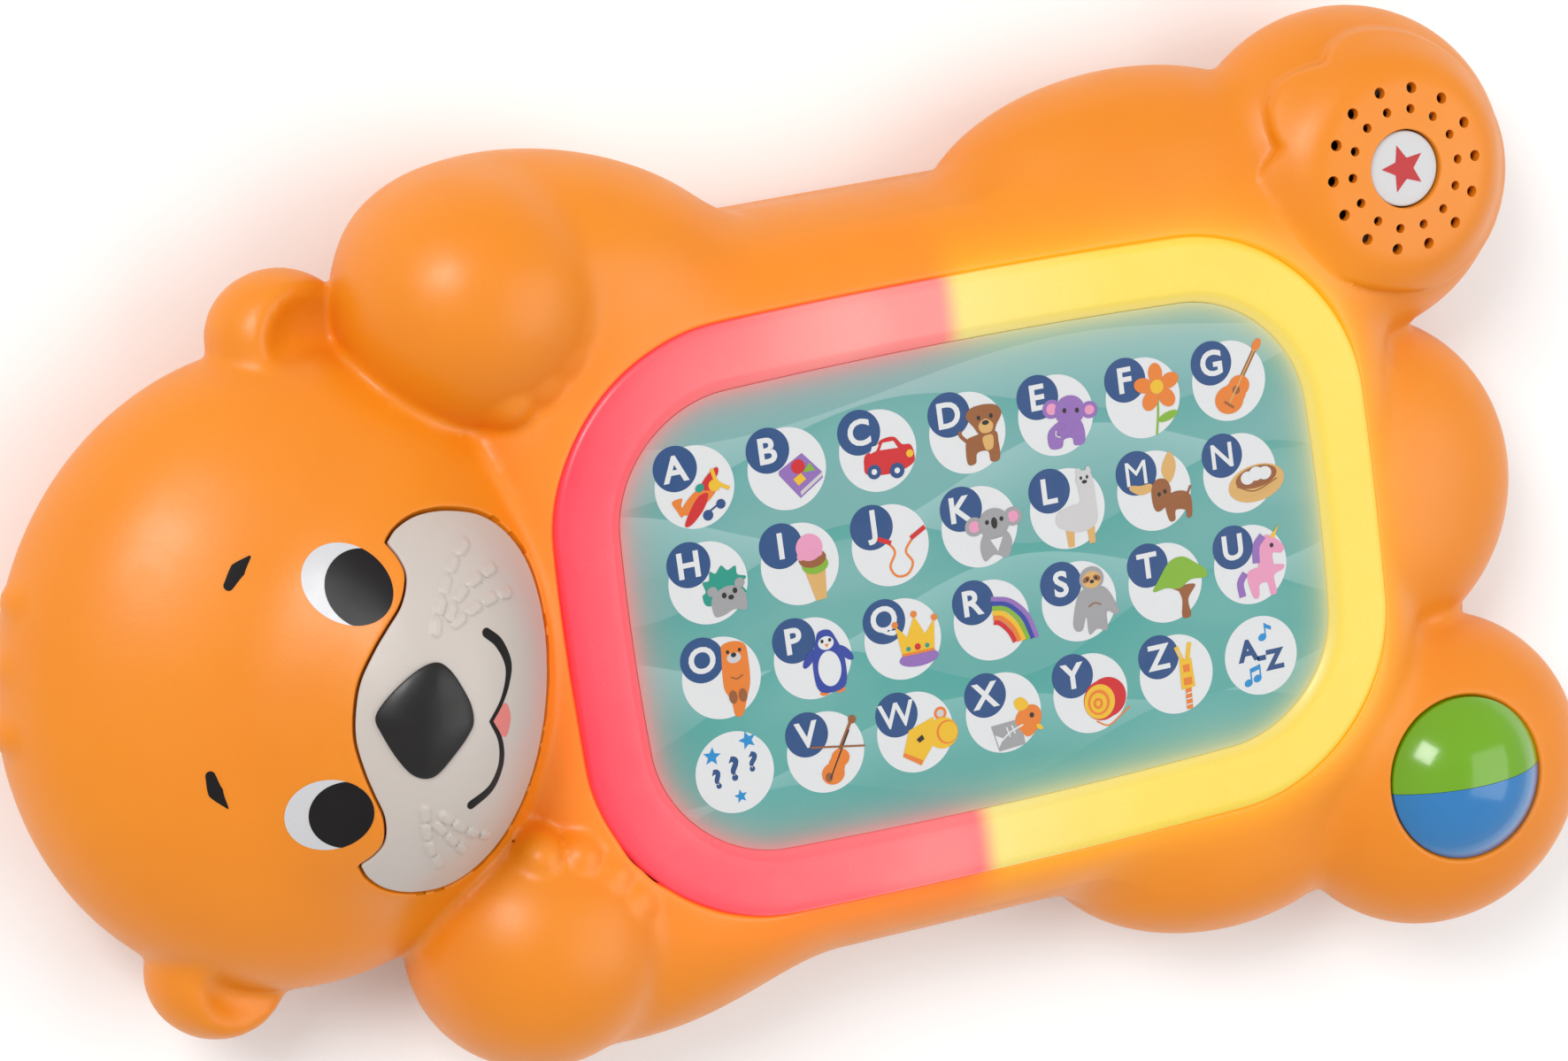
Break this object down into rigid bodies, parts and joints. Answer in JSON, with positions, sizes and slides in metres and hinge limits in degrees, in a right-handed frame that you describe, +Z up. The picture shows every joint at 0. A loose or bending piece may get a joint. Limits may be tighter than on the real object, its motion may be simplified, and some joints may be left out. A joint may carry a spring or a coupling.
{
  "type": "toy tablet",
  "caption": "Otter-shaped toy tablet lying on its back: lit ring round a printed touch panel in the belly, a speaker in one foot and a press dome in the other.",
  "frame": {"origin": "on the resting face, under the centre of the touch panel", "axes": "+X from the head to the feet, +Y across the belly towards the speaker foot, +Z up out of the belly"},
  "size_m": [0.3479, 0.205, 0.0725],
  "materials": {
    "shell_orange": "satin moulded plastic",
    "ring_diffuser": "translucent, lit from below",
    "panel_print": "printed film",
    "muzzle_grey": "satin",
    "badge_white": "gloss",
    "dome_green": "gloss",
    "dome_blue": "gloss",
    "inner_white": "matt",
    "board_green": "solder mask",
    "led_white": "clear",
    "chip_black": "matt",
    "can_dark": "sleeved",
    "ribbon_grey": "satin",
    "plated_steel": "zinc plated",
    "magnet_steel": "plated",
    "cone_paper": "paper",
    "wire_red": "satin",
    "cell_jacket": "gloss",
    "knob_dark": "matt"
  },
  "bodies": {
    "body": {"front_shell": "shell_orange", "rear_shell": "shell_orange", "light_ring": "ring_diffuser", "touch_panel": "panel_print", "touch_board": "board_green", "led_board": "board_green", "ring_leds": "led_white", "main_board": "board_green", "controller_chip": "chip_black", "capacitors": "can_dark", "ribbon_cable": "ribbon_grey", "board_screws": "plated_steel", "muzzle_plate": "muzzle_grey", "speaker_basket": "magnet_steel", "speaker_magnet": "magnet_steel", "speaker_cone": "cone_paper", "speaker_retainer": "inner_white", "speaker_screws": "plated_steel", "speaker_badge": "badge_white", "speaker_wires": "wire_red", "dome_spring": "plated_steel", "dome_board": "board_green", "dome_switch": "chip_black", "dome_led": "led_white", "dome_wires": "wire_red", "battery_cells": "cell_jacket", "battery_contacts": "plated_steel", "battery_springs": "plated_steel", "battery_wires": "wire_red", "power_switch": "chip_black", "case_screws": "plated_steel"},
    "dome": {"dome_green": "dome_green", "dome_blue": "dome_blue", "dome_carrier": "inner_white"},
    "battery_door": {"battery_door": "shell_orange", "battery_door_screw": "plated_steel"},
    "power_knob": {"power_knob": "knob_dark"}
  },
  "joints": [
    {"name": "dome_press", "type": "slide", "parent": "body", "child": "dome", "axis": [0, 0, -1], "range_m": [0, 0.0025], "stiffness_N_per_m": 400, "springref_m": -0.0015, "deforming": ["dome_spring"]},
    {"name": "power_slide", "type": "slide", "parent": "body", "child": "power_knob", "axis": [1, 0, 0], "range_m": [0, 0.008]},
    {"name": "battery_door_lift", "type": "slide", "parent": "body", "child": "battery_door", "axis": [0, 0, -1], "range_m": [0, 0.03]}
  ]
}
